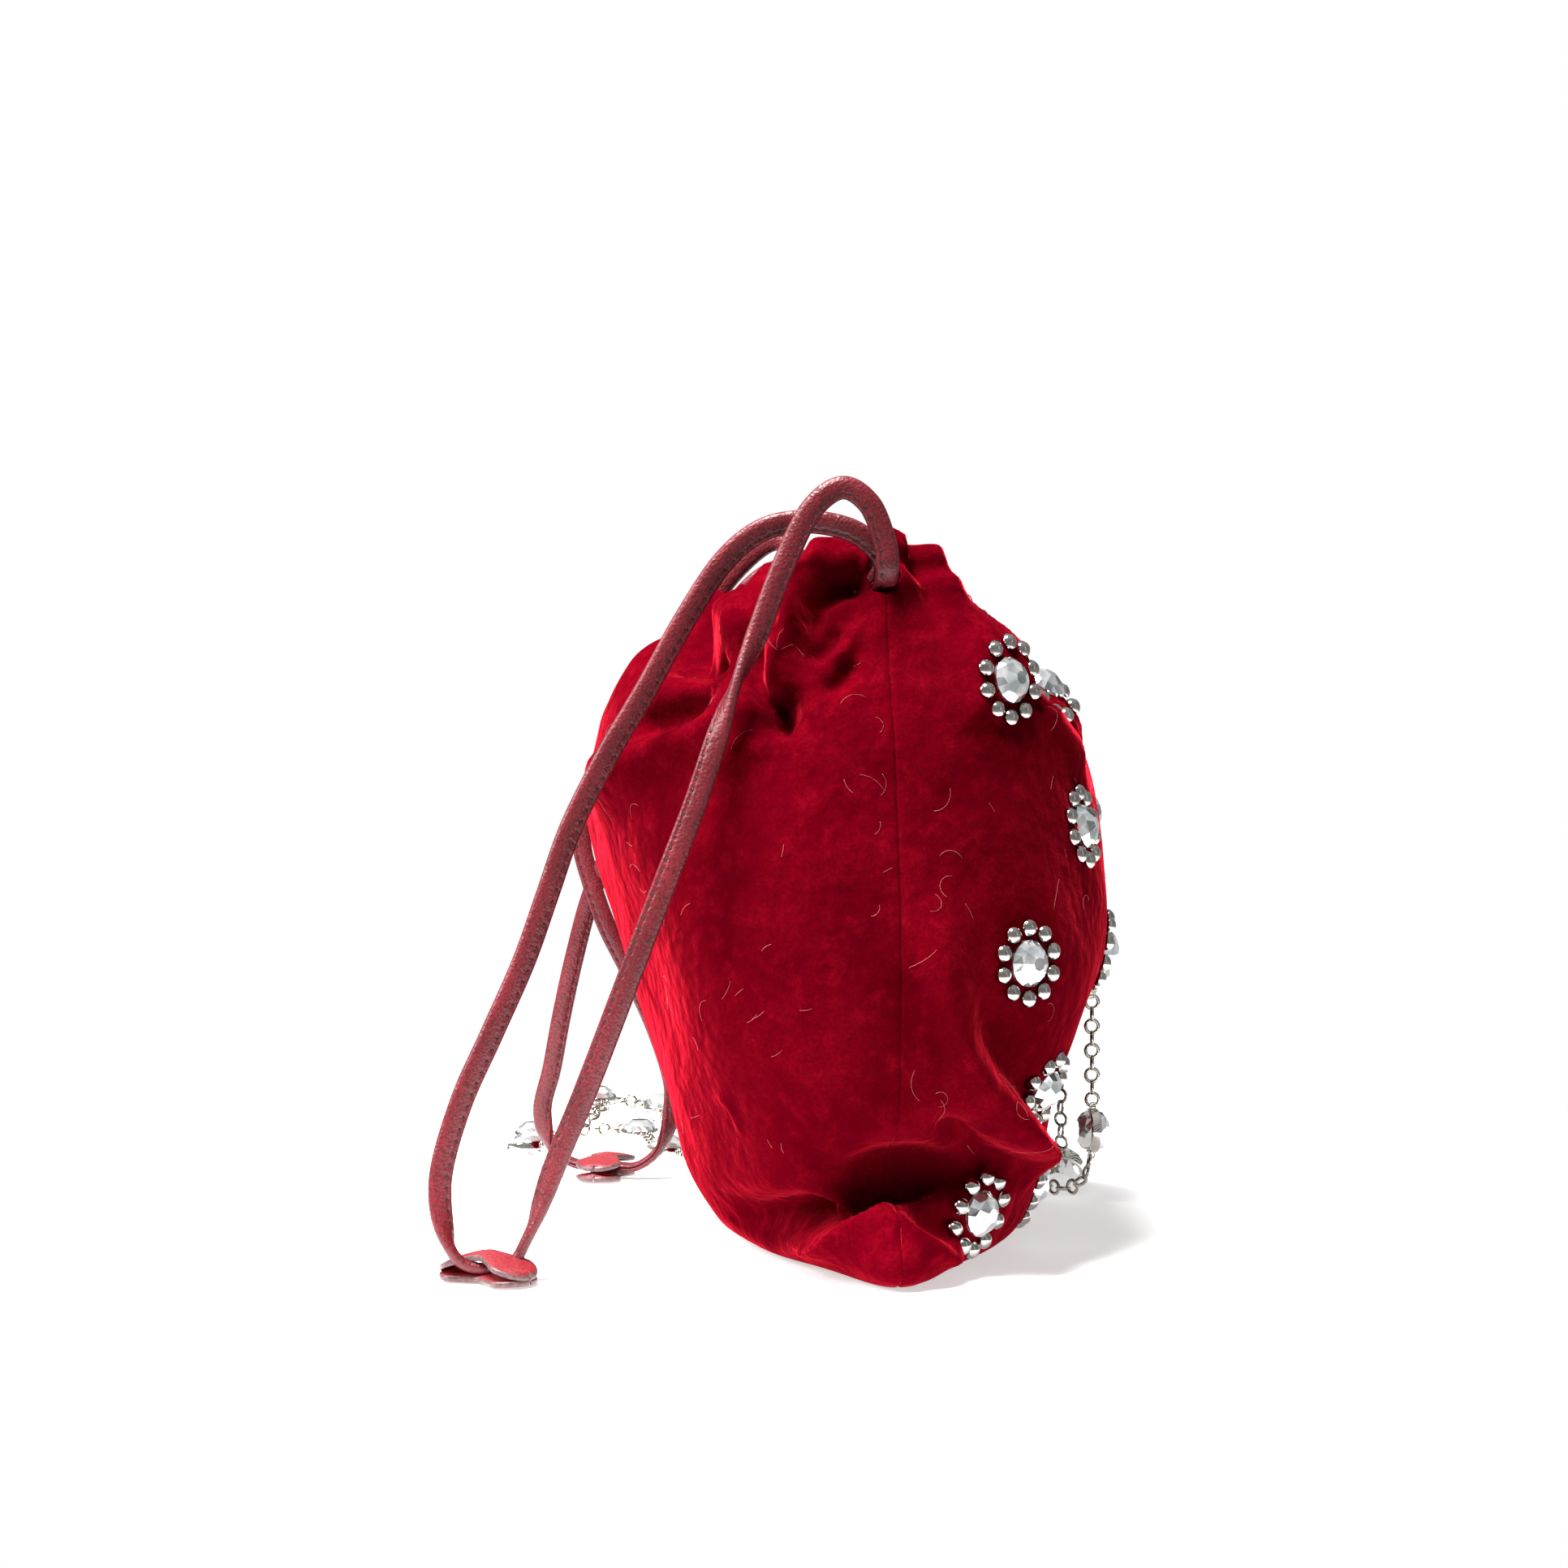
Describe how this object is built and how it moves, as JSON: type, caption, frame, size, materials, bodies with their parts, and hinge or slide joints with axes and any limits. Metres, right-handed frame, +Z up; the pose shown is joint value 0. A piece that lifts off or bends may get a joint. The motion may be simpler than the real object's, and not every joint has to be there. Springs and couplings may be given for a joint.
{
  "type": "velvet drawstring pouch",
  "caption": "Velvet drawstring pouch with crystal flowers on its front, leather drawstring loops with folded tabs, and a chain strap set with crystals.",
  "frame": {"origin": "centre of the bag's flat base, on the surface it stands on", "axes": "+X along the bag's width, jewelled front towards -Y, +Z up"},
  "size_m": [0.2993, 0.1996, 0.2029],
  "materials": {
    "velvet": "cut pile velvet",
    "lining": "satin",
    "casing": "grosgrain",
    "board": "matte",
    "strap_leather": "grained",
    "clasp_metal": "polished",
    "chain_metal": "polished",
    "chain_band": "polished",
    "chain_crystal": "cut",
    "flower_crystal": "cut and foiled",
    "stud_metal": "polished"
  },
  "bodies": {
    "bag": {"velvet_front": "velvet", "velvet_back": "velvet", "velvet_base": "velvet", "base_board": "board", "lining_front": "lining", "lining_back": "lining", "lining_base": "lining", "casing_front": "casing", "casing_back": "casing", "near_held_drawstring": "strap_leather", "far_held_drawstring": "strap_leather", "near_ring_loop": "strap_leather", "far_ring_loop": "strap_leather", "near_d_ring": "clasp_metal", "far_d_ring": "clasp_metal", "near_clasp": "clasp_metal", "far_clasp": "clasp_metal", "chain_links": "chain_metal", "chain_bezels": "chain_band", "chain_crystals": "chain_crystal", "studs_row_1": "stud_metal", "studs_row_2": "stud_metal", "studs_row_3": "stud_metal", "studs_row_4": "stud_metal", "studs_row_5": "stud_metal", "flower_crystal_1_1": "flower_crystal", "flower_crystal_1_2": "flower_crystal", "flower_crystal_1_3": "flower_crystal", "flower_crystal_1_4": "flower_crystal", "flower_crystal_2_1": "flower_crystal", "flower_crystal_2_2": "flower_crystal", "flower_crystal_2_3": "flower_crystal", "flower_crystal_3_1": "flower_crystal", "flower_crystal_3_2": "flower_crystal", "flower_crystal_3_3": "flower_crystal", "flower_crystal_3_4": "flower_crystal", "flower_crystal_4_1": "flower_crystal", "flower_crystal_4_2": "flower_crystal", "flower_crystal_4_3": "flower_crystal", "flower_crystal_5_1": "flower_crystal", "flower_crystal_5_2": "flower_crystal", "flower_crystal_5_3": "flower_crystal", "flower_crystal_5_4": "flower_crystal"},
    "near_drawstring": {"near_loop": "strap_leather", "near_tab_lower": "strap_leather", "near_tab_upper": "strap_leather"},
    "far_drawstring": {"far_loop": "strap_leather", "far_tab_lower": "strap_leather", "far_tab_upper": "strap_leather"},
    "near_gate": {"near_gate": "clasp_metal"},
    "far_gate": {"far_gate": "clasp_metal"},
    "near_swivel": {"near_swivel": "clasp_metal"},
    "far_swivel": {"far_swivel": "clasp_metal"}
  },
  "joints": [
    {"name": "near_loop_swing", "type": "hinge", "parent": "bag", "child": "near_drawstring", "pos_m": [-0.075, 0, 0.178], "axis": [0, 0, 1], "range_deg": [0, 120]},
    {"name": "far_loop_swing", "type": "hinge", "parent": "bag", "child": "far_drawstring", "pos_m": [0.075, 0, 0.178], "axis": [0, 0, 1], "range_deg": [0, 12]},
    {"name": "near_gate_hinge", "type": "hinge", "parent": "bag", "child": "near_gate", "pos_m": [-0.05208, 0, 0.15819], "axis": [0, 1, 0], "range_deg": [0, 25], "stiffness_Nm_per_rad": 0.002, "springref_deg": -11.46},
    {"name": "far_gate_hinge", "type": "hinge", "parent": "bag", "child": "far_gate", "pos_m": [0.05208, 0, 0.15819], "axis": [0, -1, 0], "range_deg": [0, 25], "stiffness_Nm_per_rad": 0.002, "springref_deg": -11.46},
    {"name": "near_swivel_turn", "type": "hinge", "parent": "bag", "child": "near_swivel", "pos_m": [-0.05667, 0, 0.15878], "axis": [0.6428, 0, 0.766], "continuous": true},
    {"name": "far_swivel_turn", "type": "hinge", "parent": "bag", "child": "far_swivel", "pos_m": [0.05667, 0, 0.15878], "axis": [-0.6428, 0, 0.766], "continuous": true}
  ]
}
